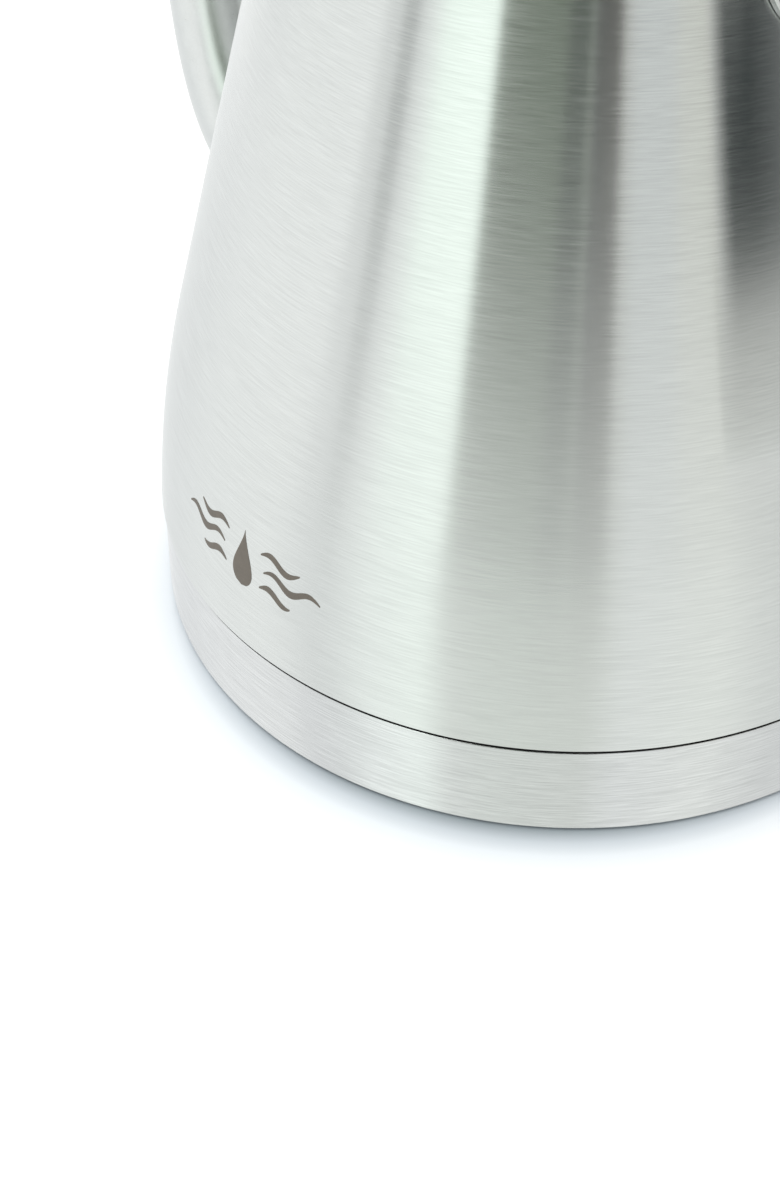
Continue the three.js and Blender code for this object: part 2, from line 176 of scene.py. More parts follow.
def joined_loops(name, loops, closed_along=False, sharp=SHARP):
    """A closed body skinned over loops of points, each loop with the same number of points."""
    sides = len(loops[0])
    points = [point for loop in loops for point in loop]
    faces = []
    spans = len(loops) if closed_along else len(loops) - 1
    for i in range(spans):
        a, b = i * sides, (i + 1) % len(loops) * sides
        for j in range(sides):
            k = (j + 1) % sides
            faces.append((a + j, a + k, b + k, b + j))
    if not closed_along:
        faces.append(tuple(reversed(range(sides))))
        faces.append(tuple(range(len(points) - sides, len(points))))
    return mesh_object(name, points, faces, sharp)


def apply_modifiers(piece):
    """Keeps the mesh that the piece's modifiers make."""
    graph = bpy.context.evaluated_depsgraph_get()
    mesh = bpy.data.meshes.new_from_object(piece.evaluated_get(graph), depsgraph=graph)
    piece.modifiers.clear()
    old = piece.data
    piece.data = mesh
    mesh.name = piece.name
    bpy.data.meshes.remove(old)


def combine(piece, others, operation="DIFFERENCE", sharp=SHARP):
    """Cuts the others away from a piece, or joins them to it. The others are used up."""
    for other in others:
        modifier = piece.modifiers.new("cut", "BOOLEAN")
        modifier.operation = operation
        modifier.solver = "EXACT"
        modifier.object = other
    apply_modifiers(piece)
    for other in others:
        mesh = other.data
        bpy.data.objects.remove(other)
        bpy.data.meshes.remove(mesh)
    smooth(piece, sharp)
    return piece


def place(piece, transform):
    piece.data.transform(transform)
    return piece


def flat_ring(name, node, hole, edges, sides):
    """A ring with a node's heights and outer radius. Its fillets start at the inner lower edge."""
    low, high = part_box(node)
    corners = [(hole, low.z), (high.x, low.z), (high.x, high.z), (hole, high.z)]
    return revolve(name, rounded([(*corner, edge) for corner, edge in zip(corners, edges)]), sides)


def box(name, low, high):
    across, deep, tall = zip(low, high)
    corners = [(x, y, z) for x in across for y in deep for z in tall]
    faces = [(0, 1, 3, 2), (4, 6, 7, 5), (0, 4, 5, 1), (2, 3, 7, 6), (0, 2, 6, 4), (1, 5, 7, 3)]
    return mesh_object(name, corners, faces)


def along_y(profile, x, z, name, sides=48):
    """A body turned about a line along -Y through (x, z): the profile's heights run towards -Y."""
    piece = revolve(name, profile, sides)
    return place(piece, Matrix.Translation((x, 0, z)) @ Matrix.Rotation(math.pi / 2, 4, "X"))


# ---- curves in the plane of spout and handle ---------------------------------------------
class PlanePath:
    """A path of Bezier stretches in the XZ plane, met at shares of its length."""

    def __init__(self, *stretches):
        self.points = [Vector(stretches[0][0])]
        for stretch in stretches:
            controls = [Vector(control) for control in stretch]
            for step in range(1, PATH_STEPS + 1):
                self.points.append(self._bezier(controls, step / PATH_STEPS))
        self.lengths = [0.0]
        for a, b in zip(self.points, self.points[1:]):
            self.lengths.append(self.lengths[-1] + (b - a).length)
        self.length = self.lengths[-1]

    @staticmethod
    def _bezier(controls, t):
        while len(controls) > 1:
            controls = [a.lerp(b, t) for a, b in zip(controls, controls[1:])]
        return controls[0]

    def at(self, share):
        """The point at a share of the length, and the direction there."""
        goal = share * self.length
        low, high = 0, len(self.lengths) - 1
        while high - low > 1:
            middle = (low + high) // 2
            if self.lengths[middle] <= goal:
                low = middle
            else:
                high = middle
        span = self.lengths[high] - self.lengths[low]
        point = self.points[low].lerp(self.points[high], (goal - self.lengths[low]) / span)
        aside = 2
        before = self.points[max(low - aside, 0)]
        after = self.points[min(high + aside, len(self.points) - 1)]
        return point, (after - before).normalized()


def direction(angle, sign=1):
    return Vector((sign * math.cos(angle), math.sin(angle)))


def section(path, share, outline):
    """A loop of 3-D points: outline gives (up, across) offsets from the path at that share."""
    centre, along = path.at(share)
    up = Vector((-along.y, along.x))
    loop = []
    for rise, across in outline:
        spot = centre + up * rise
        loop.append((spot.x, across, spot.y))
    return loop


def ellipse(high, wide, sides=48):
    turns = [2 * math.pi * i / sides for i in range(sides)]
    return [(high * math.cos(turn), wide * math.sin(turn)) for turn in turns]


def evenly(steps, start=0.0, end=1.0):
    return [start + (end - start) * i / steps for i in range(steps + 1)]


def smoothstep(value, low, high):
    t = min(max((value - low) / (high - low), 0), 1)
    return t * t * (3 - 2 * t)


# ---- the shell's flank -------------------------------------------------------------------
CURVE_RISE = FLANK_R * (math.sin(LEAN_HIGH) - math.sin(LEAN_LOW))
CONE_R = BODY_R - FLANK_R * (math.cos(LEAN_LOW) - math.cos(LEAN_HIGH))


def lean(z):
    """How far the wall leans in at a height, in radians."""
    rise = min(max(z - SEAM_Z, 0), CURVE_RISE)
    return math.asin(rise / FLANK_R + math.sin(LEAN_LOW))


def flank(z):
    """The shell's outer radius at a height."""
    rise = z - SEAM_Z
    if rise > CURVE_RISE:
        return CONE_R - (rise - CURVE_RISE) * math.tan(LEAN_HIGH)
    return BODY_R - FLANK_R * (math.cos(LEAN_LOW) - math.cos(lean(z)))


def flank_line(inset, low, high, steps=36):
    """Points on the flank, or a distance inside it, square to its lean."""
    line = []
    for z in evenly(steps, low, high):
        tilt = lean(z)
        line.append((flank(z) - inset * math.cos(tilt), z - inset * math.sin(tilt)))
    return line


def flank_point(azimuth, z, out=0.0):
    tilt = lean(z)
    radius = flank(z) + out * math.cos(tilt)
    return (radius * math.cos(azimuth), radius * math.sin(azimuth), z + out * math.sin(tilt))


def envelope(distance):
    """A solid of everything within a distance of the shell's outside."""
    line = flank_line(-distance, SEAM_Z, RIM_Z + 10 * MM, 60)
    return revolve("envelope", [(0, 0), (BODY_R + distance, 0), *line, (0, line[-1][1])])


# ---- materials ---------------------------------------------------------------------------
class Surface:
    """A material whose nodes are added one call at a time."""

    def __init__(self, name, color, roughness, metallic=0.0):
        self.material = bpy.data.materials.new(name)
        self.material.use_nodes = True
        self.material.diffuse_color = (*color, 1)
        self.nodes = self.material.node_tree.nodes
        self.links = self.material.node_tree.links
        self.shader = self.nodes["Principled BSDF"]
        self.set(self.shader, {"Base Color": (*color, 1), "Roughness": roughness, "Metallic": metallic})

    def set(self, node, inputs):
        for key, value in inputs.items():
            if isinstance(value, bpy.types.NodeSocket):
                self.links.new(value, node.inputs[key])
            else:
                node.inputs[key].default_value = value
        return node

    def add(self, kind, inputs=None, **settings):
        node = self.nodes.new(kind)
        for key, value in settings.items():
            setattr(node, key, value)
        return self.set(node, inputs or {})

    def math(self, operation, a, b):
        return self.add("ShaderNodeMath", {0: a, 1: b}, operation=operation).outputs[0]

    def vector_math(self, operation, a, b):
        return self.add("ShaderNodeVectorMath", {0: a, 1: b}, operation=operation).outputs[0]

    def length(self, vector):
        return self.add("ShaderNodeVectorMath", {0: vector}, operation="LENGTH").outputs["Value"]

    def noise(self, vector, scale=1.0, detail=2.0):
        inputs = {"Vector": vector, "Scale": scale, "Detail": detail}
        return self.add("ShaderNodeTexNoise", inputs).outputs["Fac"]

    def ranged(self, value, low, high, to_low, to_high):
        inputs = {"Value": value, "From Min": low, "From Max": high, "To Min": to_low, "To Max": to_high}
        return self.add("ShaderNodeMapRange", inputs).outputs["Result"]

    @staticmethod
    def color(value):
        return (*value, 1) if isinstance(value, tuple) else value

    def mixed(self, factor, a, b):
        node = self.add("ShaderNodeMix", data_type="RGBA")
        self.set(node, {0: factor, 6: self.color(a), 7: self.color(b)})
        return node.outputs[2]

    def ramp(self, value, stops):
        """A colour that runs smoothly through the stops, which give a colour for each share."""
        node = self.add("ShaderNodeValToRGB", {"Fac": value})
        elements = node.color_ramp.elements
        first, *middle, last = sorted(stops)
        for share in middle:
            elements.new(share).color = self.color(stops[share])
        elements[0].position, elements[0].color = first, self.color(stops[first])
        elements[-1].position, elements[-1].color = last, self.color(stops[last])
        return node.outputs["Color"]

    def bump(self, height, depth):
        return self.add("ShaderNodeBump", {"Height": height, "Distance": depth}).outputs["Normal"]


def plan_and_height(surface):
    """A shaded point's x and y, as a vector, and its z."""
    position = surface.add("ShaderNodeTexCoord").outputs["Object"]
    split = surface.add("ShaderNodeSeparateXYZ", {0: position}).outputs
    plan = surface.add("ShaderNodeCombineXYZ", {"X": split["X"], "Y": split["Y"]}).outputs[0]
    return plan, split["Z"]


def ring_coordinates(surface):
    """Coordinates that run round +Z without a seam: a unit ring, with height less radius across."""
    plan, height = plan_and_height(surface)
    ring = surface.add("ShaderNodeVectorMath", {0: plan}, operation="NORMALIZE").outputs[0]
    return ring, surface.math("SUBTRACT", height, surface.length(plan))


def stretched(surface, ring, across, along_scale, across_scale):
    """Coordinates for noise drawn out along the ring."""
    lift = surface.add("ShaderNodeCombineXYZ", {"Z": surface.math("MULTIPLY", across, across_scale)})
    around = surface.vector_math("MULTIPLY", ring, (along_scale, along_scale, along_scale))
    return surface.vector_math("ADD", around, lift.outputs[0])


def around_noise(surface, ring, across, radius, length, width, detail):
    """Noise in streaks of this length round the ring, at this radius, and of this width across it."""
    vector = stretched(surface, ring, across, radius / length, 1 / width)
    return surface.noise(vector, detail=detail)


def shaded_pair(color, contrast):
    """A darker and a lighter version of a colour."""
    dark = tuple(channel * (1 - contrast) for channel in color)
    light = tuple(min(channel * (1 + contrast), 1) for channel in color)
    return dark, light


def brushed_steel(name, color, roughness, grain, radius=BODY_R):
    """Steel brushed round +Z: dense fine lines that wander a little, with longer scratches among them."""
    wander_by = 0.08 * MM
    line_share = 0.9
    line_depth = 0.0005 * MM
    contrast = 0.08 * grain
    spread = 0.02
    surface = Surface(name, color, roughness, metallic=1.0)
    ring, across = ring_coordinates(surface)
    wander = around_noise(surface, ring, across, radius, 26 * MM, 8 * MM, 1.0)
    across = surface.math("ADD", across, surface.math("MULTIPLY", wander, wander_by))
    lines = around_noise(surface, ring, across, radius, 8 * MM, 0.25 * MM, 2.0)
    strokes = around_noise(surface, ring, across, radius, 6 * MM, 0.3 * MM, 1.0)
    clouds = around_noise(surface, ring, across, radius, 24 * MM, 3 * MM, 2.0)
    bright = surface.ranged(strokes, 0.62, 0.74, 0.0, 1.0)
    deep = surface.ranged(strokes, 0.38, 0.26, 0.0, 1.0)
    fine = surface.math("MULTIPLY", lines, line_share)
    tone = surface.math("ADD", fine, surface.math("MULTIPLY", clouds, 1 - line_share))
    dark, light = shaded_pair(color, contrast)
    body = surface.mixed(surface.ranged(tone, 0.3, 0.7, 0.0, 1.0), dark, light)
    scratched = surface.mixed(surface.math("MULTIPLY", bright, 0.5 * grain), body, light)
    scored = surface.mixed(surface.math("MULTIPLY", deep, 0.4 * grain), scratched, dark)
    surface.set(surface.shader, {
        "Base Color": scored,
        "Roughness": surface.ranged(tone, 0.25, 0.75, roughness - spread, roughness + spread),
        "Anisotropic": 1.0,
        "Anisotropic Rotation": 0.25,
        "Normal": surface.bump(lines, line_depth),
        "Tangent": surface.add("ShaderNodeTangent", direction_type="RADIAL", axis="Z").outputs[0],
    })
    return surface.material


def plain(name, color, roughness, metallic, speckle, depth, scale):
    """A material with fine mottling in its colour and roughness, and a fine grain in its surface."""
    coarser = 0.15
    spread = 0.03
    surface = Surface(name, color, roughness, metallic)
    position = surface.add("ShaderNodeTexCoord").outputs["Object"]
    coarse = surface.noise(position, scale * coarser, 3.0)
    fine = surface.noise(position, scale, 4.0)
    tone = surface.math("ADD", surface.math("MULTIPLY", coarse, 0.5), surface.math("MULTIPLY", fine, 0.5))
    dark, light = shaded_pair(color, speckle)
    surface.set(surface.shader, {
        "Base Color": surface.mixed(surface.ranged(tone, 0.35, 0.65, 0.0, 1.0), dark, light),
        "Roughness": surface.ranged(tone, 0.3, 0.7, roughness - spread, roughness + spread),
        "Normal": surface.bump(fine, depth),
    })
    return surface.material


def make_materials():
    """Every material. The plain ones give their speckle's strength, their grain's depth and its scale."""
    steel = (0.605, 0.62, 0.61)
    band = (0.606, 0.615, 0.617)
    satin = (0.55, 0.56, 0.555)
    aluminium = (0.62, 0.63, 0.64)
    brass = (0.52, 0.36, 0.13)
    black = (0.016, 0.016, 0.017)
    milky = (0.66, 0.68, 0.66)
    # Near black: the dark cut edges of the sheet, and also painted shade in the gap of the seam.
    cut_edge_and_seam_shade = (0.05, 0.048, 0.05)
    etched = (0.135, 0.118, 0.098)
    return {
        "shell": brushed_steel("steel_shell", steel, roughness=0.23, grain=0.85),
        "band": brushed_steel("steel_band", band, roughness=0.25, grain=1.5),
        "lid": brushed_steel("steel_lid", steel, roughness=0.33, grain=0.8, radius=30 * MM),
        "spout": plain("steel_spout", steel, 0.3, 1.0, speckle=0.03, depth=0.002 * MM, scale=2500),
        "satin": plain("steel_satin", satin, 0.26, 1.0, speckle=0.03, depth=0.0015 * MM, scale=2500),
        "aluminium": plain("aluminium", aluminium, 0.5, 1.0, speckle=0.06, depth=0.006 * MM, scale=1200),
        "brass": plain("brass", brass, 0.35, 1.0, speckle=0.08, depth=0.004 * MM, scale=1500),
        "phenolic": plain("phenolic", black, 0.42, 0.0, speckle=0.18, depth=0.01 * MM, scale=1400),
        "silicone": plain("silicone", milky, 0.6, 0.0, speckle=0.04, depth=0.01 * MM, scale=900),
        # The seam's material: dark cut edge together with painted shade in the gap between shell and
        # foot.
        "seam": plain("steel_cut_edge_and_painted_seam_shade", cut_edge_and_seam_shade, 0.5, 0.7, speckle=0.1, depth=0.004 * MM, scale=2500),
        "emblem": plain("etched_emblem", etched, 0.5, 0.6, speckle=0.12, depth=0.01 * MM, scale=3000),
    }


def paint_faces(piece, surface, chosen):
    """Gives the faces that a test picks a second material. The test sees a face's middle and normal."""
    piece.data.materials.append(surface)
    index = len(piece.data.materials) - 1
    for face in piece.data.polygons:
        if chosen(face.center, face.normal):
            face.material_index = index


def finish_piece(piece, surface, body, *nodes):
    """Gives a piece its material and slot, and lets it ride on a body in place of CAD nodes."""
    piece.data.materials.clear()
    piece.data.materials.append(MATERIALS[surface])
    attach(piece, body)
    if nodes:
        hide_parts(*nodes)


# ---- camera, floor and light -------------------------------------------------------------
CAMERA_AWAY = 4.728 * BODY_R
CARD_AWAY = 270 * MM
# The cards' shades, each at the azimuth where the wall mirrors it to the camera, in degrees from the
# camera's side of the kettle.
STANDING = {
    -90: (0.2, 0.22, 0.21), -84: (0.2, 0.22, 0.21), -82: (1.15, 1.17, 1.17), -58: (1.12, 1.14, 1.14),
    -46: (1.22, 1.24, 1.23), -33: (1.22, 1.24, 1.23), -31: (0.98, 1.0, 0.99), -29.2: (0.94, 0.96, 0.95),
    -28.4: (0.62, 0.64, 0.63), -26.6: (0.62, 0.64, 0.63), -25.8: (0.98, 1.0, 0.99),
    -23.5: (1.22, 1.28, 1.24), -21: (1.4, 1.56, 1.44), -13.6: (1.42, 1.58, 1.46),
    -12.4: (0.1, 0.14, 0.085), -3: (0.1, 0.14, 0.085), -1.8: (0.0, 0.02, 0.0), 0.5: (0.0, 0.02, 0.0),
    0.9: (0.2, 0.235, 0.19), 1.4: (0.2, 0.235, 0.19), 1.8: (0.0, 0.0, 0.0), 5: (0.02, 0.012, 0.0),
    6.2: (0.68, 0.685, 0.65), 8: (0.79, 0.82, 0.82), 13: (0.79, 0.82, 0.82), 14.5: (0.84, 0.85, 0.8),
    19: (0.86, 0.87, 0.8), 23: (0.62, 0.63, 0.6), 45: (0.6, 0.62, 0.6), 50: (1.2, 1.22, 1.2),
    61: (1.2, 1.22, 1.2), 62: (0.15, 0.17, 0.16), 72: (0.15, 0.17, 0.16), 73: (1.3, 1.32, 1.3),
    90: (1.1, 1.12, 1.1),
}
BESIDE_HANDLE = {
    22.8: (0.85, 0.86, 0.83), 24.6: (0.3, 0.31, 0.3), 25.8: (0.05, 0.06, 0.06), 30: (0.05, 0.06, 0.06),
    40: (0.22, 0.23, 0.23),
}
BELOW_HANDLE = {22.4: (0.85, 0.86, 0.83), 25: (0.78, 0.79, 0.76), 40: (0.76, 0.77, 0.75)}
FLAT = {
    -90: (1.15, 1.17, 1.17), -62: (1.1, 1.12, 1.13), -52: (1.22, 1.24, 1.24), -38: (1.24, 1.26, 1.25),
    -32: (1.1, 1.12, 1.12), -28: (1.1, 1.13, 1.12), -23: (1.26, 1.31, 1.28), -16: (1.3, 1.38, 1.32),
    -12: (1.07, 1.11, 1.07), -8: (1.04, 1.09, 1.04), 4: (1.03, 1.07, 1.02), 9: (1.14, 1.17, 1.15),
    20: (1.2, 1.23, 1.19), 30: (1.02, 1.04, 1.03), 90: (1.1, 1.12, 1.1),
}


def make_camera():
    """The photograph's viewpoint: well above the kettle and close to it, aimed left of its axis."""
    height = 4.011 * BODY_R
    pitch = math.radians(41.63)
    pan = math.radians(5.25)
    roll = math.radians(-0.30)
    data = bpy.data.cameras.new("camera")
    data.sensor_fit = "AUTO"
    data.sensor_width = 36.0
    data.lens = 72.24
    data.clip_start = 0.01
    data.clip_end = 20.0
    camera = new_object("camera", data)
    turn = Matrix.Rotation(CAMERA_TURN, 4, "Z")
    position = turn @ Vector((0, -CAMERA_AWAY, height))
    aim = Matrix.Rotation(pan, 4, "Z") @ Matrix.Rotation(math.pi / 2 - pitch, 4, "X")
    camera.matrix_world = Matrix.Translation(position) @ turn @ aim @ Matrix.Rotation(roll, 4, "Z")
    bpy.context.scene.camera = camera


def toward(azimuth, radius, height):
    """A point at an azimuth from the camera's side of the kettle, positive to the camera's right."""
    turn = CAMERA_SIDE + math.radians(azimuth)
    return Vector((radius * math.cos(turn), radius * math.sin(turn), height))


def mirrored(azimuth, distance):
    """The floor plan point that the wall at an azimuth mirrors to the camera, this far from the wall."""
    side = math.radians(azimuth)
    wall = Vector((BODY_R * math.sin(side), BODY_R * math.cos(side)))
    glance = math.atan2(wall.x, CAMERA_AWAY - wall.y)
    onward = 2 * side + glance
    spot = wall + distance * Vector((math.sin(onward), math.cos(onward)))
    return toward(math.degrees(math.atan2(spot.x, spot.y)), spot.length, 0)


def shade_at(shades, azimuth):
    """The colour at an azimuth, mixed from the shades on either side of it."""
    before = max(key for key in shades if key <= azimuth)
    after = min(key for key in shades if key >= azimuth)
    share = (azimuth - before) / (after - before) if after > before else 0
    return tuple(a + (b - a) * share for a, b in zip(shades[before], shades[after]))


def card(name, distances, heights, shades):
    """A card that only the steel's reflections see, with shades that run round the kettle.

    It stands up if its two distances from the wall are the same, and lies flat if its heights are."""
    thick = 0.1 * MM
    steps = 400
    azimuths = evenly(steps, min(shades), max(shades))
    (near, far), (low, high) = distances, heights
    if near == far:
        corners = ((near, low), (near, high), (near + thick, high), (near + thick, low))
    else:
        corners = ((near, low), (near, low + thick), (far, low + thick), (far, low))
    loops = []
    for azimuth in azimuths:
        loops.append([mirrored(azimuth, away) + Vector((0, 0, height)) for away, height in corners])
    piece = joined_loops(name, loops)
    glow = piece.data.attributes.new("glow", "FLOAT_COLOR", "POINT")
    for vertex in piece.data.vertices:
        azimuth = azimuths[vertex.index // len(corners)]
        glow.data[vertex.index].color = (*shade_at(shades, azimuth), 1)
    surface = Surface(name, (0.0, 0.0, 0.0), 1.0)
    surface.set(surface.shader, {
        "Specular IOR Level": 0.0,
        "Emission Color": surface.add("ShaderNodeAttribute", attribute_name="glow").outputs["Color"],
        "Emission Strength": 1.0,
    })
    surface.material.cycles.emission_sampling = "NONE"
    piece.data.materials.append(surface.material)
    piece.visible_camera = False
    piece.visible_diffuse = False
    piece.visible_shadow = False


def make_softbox():
    """A soft light above, to the camera's left."""
    azimuth = -40
    rise = math.radians(65)
    distance = 1.2
    light = bpy.data.lights.new("softbox_top", "AREA")
    light.shape = "RECTANGLE"
    light.size, light.size_y = 0.3, 0.6
    light.energy = 2.6
    lamp = new_object("softbox_top", light)
    lamp.location = toward(azimuth, distance * math.cos(rise), distance * math.sin(rise))
    lamp.rotation_euler = (-lamp.location).to_track_quat("-Z", "Y").to_euler()


def make_world():
    """Even light from all round, a little stronger from above."""
    world = bpy.data.worlds.new("studio")
    world.use_nodes = True
    nodes, links = world.node_tree.nodes, world.node_tree.links
    background = nodes["Background"]
    position = nodes.new("ShaderNodeTexCoord")
    split = nodes.new("ShaderNodeSeparateXYZ")
    ramp = nodes.new("ShaderNodeMapRange")
    ramp.inputs["From Min"].default_value = -0.1
    ramp.inputs["From Max"].default_value = 1.0
    ramp.inputs["To Min"].default_value = 1.06
    ramp.inputs["To Max"].default_value = 1.4
    links.new(position.outputs["Generated"], split.inputs[0])
    links.new(split.outputs["Z"], ramp.inputs["Value"])
    links.new(ramp.outputs["Result"], background.inputs["Strength"])
    background.inputs["Color"].default_value = (1.0, 1.0, 1.0, 1)
    bpy.context.scene.world = world
    bpy.context.scene.view_settings.view_transform = "Standard"


def shadow(surface, centre, start, shades):
    """A painted shadow's colours by the distance, in millimetres, outside a circle on the floor."""
    plan = plan_and_height(surface)[0]
    away = surface.length(surface.vector_math("SUBTRACT", plan, tuple(centre)))
    reach = max(shades)
    share = surface.ranged(away, start, start + reach * MM, 0.0, 1.0)
    return surface.ramp(share, {distance / reach: shade for distance, shade in shades.items()})


def make_floor():
    """White paper, with a dark shadow painted into its colour where the kettle touches it and a wide soft
    painted shadow to the left.
    """
    side = 3
    floor = box("floor", (-side, -side, -0.01), (side, side, 0))
    surface = Surface("floor", (0.8, 0.8, 0.8), 0.6)
    # Painted shadow: the floor's colour is darkest at the kettle's foot and lightens outward.
    painted_contact_shadow = {
        0: (0.31, 0.35, 0.37), 3: (0.65, 0.69, 0.72), 6: (0.87, 0.9, 0.92),
        11: (0.975, 0.98, 0.985), 22: (1.0, 1.0, 1.0), 60: (0.96, 0.96, 0.96),
    }
    # A second, wider and fainter painted shadow, centred off to the left.
    soft = {
        0: (0.87, 0.885, 0.9), 10: (0.9, 0.915, 0.93), 20: (0.95, 0.957, 0.963), 42: (1.0, 1.0, 1.0),
    }
    close = shadow(surface, toward(-8, 8 * MM, 0), BODY_R - 8.5 * MM, painted_contact_shadow)
    wide = shadow(surface, toward(-50, 14 * MM, 0), BODY_R - 14 * MM, soft)
    # The floor's colour carries both painted shadows.
    surface.set(surface.shader, {"Base Color": surface.vector_math("MULTIPLY", close, wide)})
    floor.data.materials.append(surface.material)


def make_stage():
    """The floor, even studio light, and cards that the steel reflects."""
    make_floor()
    make_world()
    far = CARD_AWAY
    near = 22 * MM
    border = 91 * MM
    card("card_standing", (far, far), (28 * MM, 450 * MM), STANDING)
    card("card_flat", (-0.6 * MM, far), (0.2 * MM, 0.2 * MM), FLAT)
    card("card_handle", (near, near), (border, 150 * MM), BESIDE_HANDLE)
    card("card_below_handle", (near, near), (64 * MM, border), BELOW_HANDLE)
    make_softbox()


# ---- spout -------------------------------------------------------------------------------
SPOUT_START = flank(SPOUT_Z) - SPOUT_BURIED


def spout_path():
    start = Vector((-SPOUT_START, SPOUT_Z))
    root = direction(ROOT_RISE, -1)
    bend = start + root * 27 * MM
    middle = Vector((-110 * MM, 98 * MM))
    upward = direction(math.radians(80), -1)
    tip = Vector((-150 * MM, 167 * MM))
    straight = tip + Vector((9 * MM, 0))
    return PlanePath(
        (start, bend),
        (bend, bend + root * 19 * MM, middle - upward * 24 * MM, middle),
        (middle, middle + upward * 34 * MM, straight + Vector((24 * MM, 0)), straight),
        (straight, tip),
    )


SPOUT = spout_path()


def spout_radius(share):
    """The taper, which is steepest at the root."""
    return TIP_R + (ROOT_R - TIP_R) * (1 - share) ** 1.6


def spout_rod(name, extra):
    """A solid spout, thicker all round than the real one by extra."""
    loops = []
    for share in evenly(90):
        radius = spout_radius(share) + extra
        loops.append(section(SPOUT, share, ellipse(radius, radius)))
    return joined_loops(name, loops)


def make_spout():
    """A thin pipe whose mouth has a fine rolled lip."""
    lip = 0.35 * MM
    lip_length = 1.5 * MM
    loops = []

    def ring(share, radius):
        loops.append(section(SPOUT, share, ellipse(radius, radius, 64)))

    at_lip = 1 - lip_length / SPOUT.length
    for share in evenly(110, 0, at_lip):
        ring(share, spout_radius(share))
    bead = (WALL + lip) / 2
    for turn in evenly(8, 0, math.pi):
        share = 1 - (bead - bead * math.sin(turn)) / SPOUT.length
        ring(share, TIP_R - WALL + bead + bead * math.cos(turn))
    for share in evenly(110, at_lip, 0):
        ring(share, spout_radius(share) - WALL)
    tube = joined_loops("spout", loops, closed_along=True)
    combine(tube, [envelope(CLEAR)])
    finish_piece(tube, "spout", "kettle", "spout_tube")


def make_spout_collar():
    """A weld collar that flares from the spout onto the shell."""
    buried = SPOUT_BURIED - 6 * MM
    end = SPOUT_BURIED + 6.5 * MM
    profile = rounded([
        (0, buried),
        (ROOT_R + 4.6 * MM, buried),
        (ROOT_R + 3.5 * MM, SPOUT_BURIED + 1.4 * MM, 0.8 * MM),
        (ROOT_R + 1.5 * MM, SPOUT_BURIED + 3.4 * MM, 3 * MM),
        (ROOT_R + 0.9 * MM, end, 0.3 * MM),
        (0, end),
    ], closed=False, steps=8)
    collar = revolve("spout_flare", profile, 96)
    aim = Matrix.Rotation(ROOT_RISE - math.pi / 2, 4, "Y")
    place(collar, Matrix.Translation((-SPOUT_START, 0, SPOUT_Z)) @ aim)
    combine(collar, [spout_rod("bore", CLEAR), envelope(CLEAR)])
    finish_piece(collar, "satin", "kettle", "spout_collar")


# ---- vessel and base ---------------------------------------------------------------------
def make_shell():
    """The outer shell: its lower edge is rolled smooth, and the spout opens through it."""
    edge = 0.3 * MM
    outside = [(flank(z), z) for z in evenly(48, SEAM_Z + 2 * MM, RIM_Z)]
    inside = [(radius - WALL, z) for radius, z in reversed(outside)]
    profile = rounded([
        (BODY_R, SEAM_Z, edge), *outside, *inside, (BODY_R - WALL, SEAM_Z, edge),
    ])
    shell = revolve("shell", profile, 240)
    combine(shell, [spout_rod("spout_hole", -WALL)])
    finish_piece(shell, "shell", "kettle", "body_shell")

    # The faces under the lower edge take the dark seam colour: painted shade in the gap above the foot,
    # as well as the dark cut edge.
    def seam_shade_under_edge(middle, normal):
        return middle.z < SEAM_Z + edge and normal.z < -0.5

    paint_faces(shell, MATERIALS["seam"], seam_shade_under_edge)


def make_base_cup():
    """The bright band round the foot, with shallow rings pressed into its floor."""
    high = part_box("base_cup")[1]
    radius = high.x
    inner = radius - WALL
    edge = 1.2 * MM
    lip = 0.15 * MM
    top = high.z - 0.4 * MM
    press = 0.3 * MM
    bend = 0.6 * MM
    rings = []
    for middle in (22 * MM, 40 * MM, 58 * MM):
        inside, outside = middle - 2 * MM, middle + 2 * MM
        rings += [
            (inside - 1 * MM, 0, 0), (inside, press, bend),
            (outside, press, bend), (outside + 1 * MM, 0, 0),
        ]
    floor_top = [(ring[0], ring[1] + WALL) for ring in reversed(rings)]
    profile = rounded([
        (0, 0), *rings,
        (radius, 0, edge), (radius, top, lip), (inner, top, lip),
        (inner, WALL, 1 * MM), *floor_top, (0, WALL),
    ], closed=False)
    cup = revolve("foot_cup", profile, 240)
    finish_piece(cup, "band", "kettle", "base_cup")
    shaded = radius - 0.12 * MM

    # The cup's top lip and the top of its inner wall take the dark seam colour: painted shade in the gap
    # under the shell, as well as the dark cut edge.
    def seam_shade_in_cup(middle, _normal):
        return middle.z > top - WALL and middle.xy.length < shaded

    paint_faces(cup, MATERIALS["seam"], seam_shade_in_cup)


def make_pan():
    """The inner pan, drawn in a little where it is welded to the shell."""
    low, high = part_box("vessel_pan")
    radius = high.x
    wall = 0.7 * MM
    corner = 5 * MM
    drawn = 0.9 * MM
    shoulder = high.z - 6 * MM
    bend = 12 * MM
    edge = 0.2 * MM
    inner = radius - wall
    profile = rounded([
        (0, low.z), (radius, low.z, corner), (radius, shoulder, bend),
        (radius - drawn, high.z, edge), (inner - drawn, high.z, edge),
        (inner, shoulder, bend), (inner, low.z + wall, corner), (0, low.z + wall),
    ], closed=False, steps=8)
    pan = revolve("pan", profile, 192)
    finish_piece(pan, "satin", "kettle", "vessel_pan")


def make_spreader():
    """The aluminium disc between the pan and the foot."""
    edge = 0.7 * MM
    disc = flat_ring("spreader", "heat_spreader", 0, (0, edge, edge, 0), 128)
    finish_piece(disc, "aluminium", "kettle", "heat_spreader")


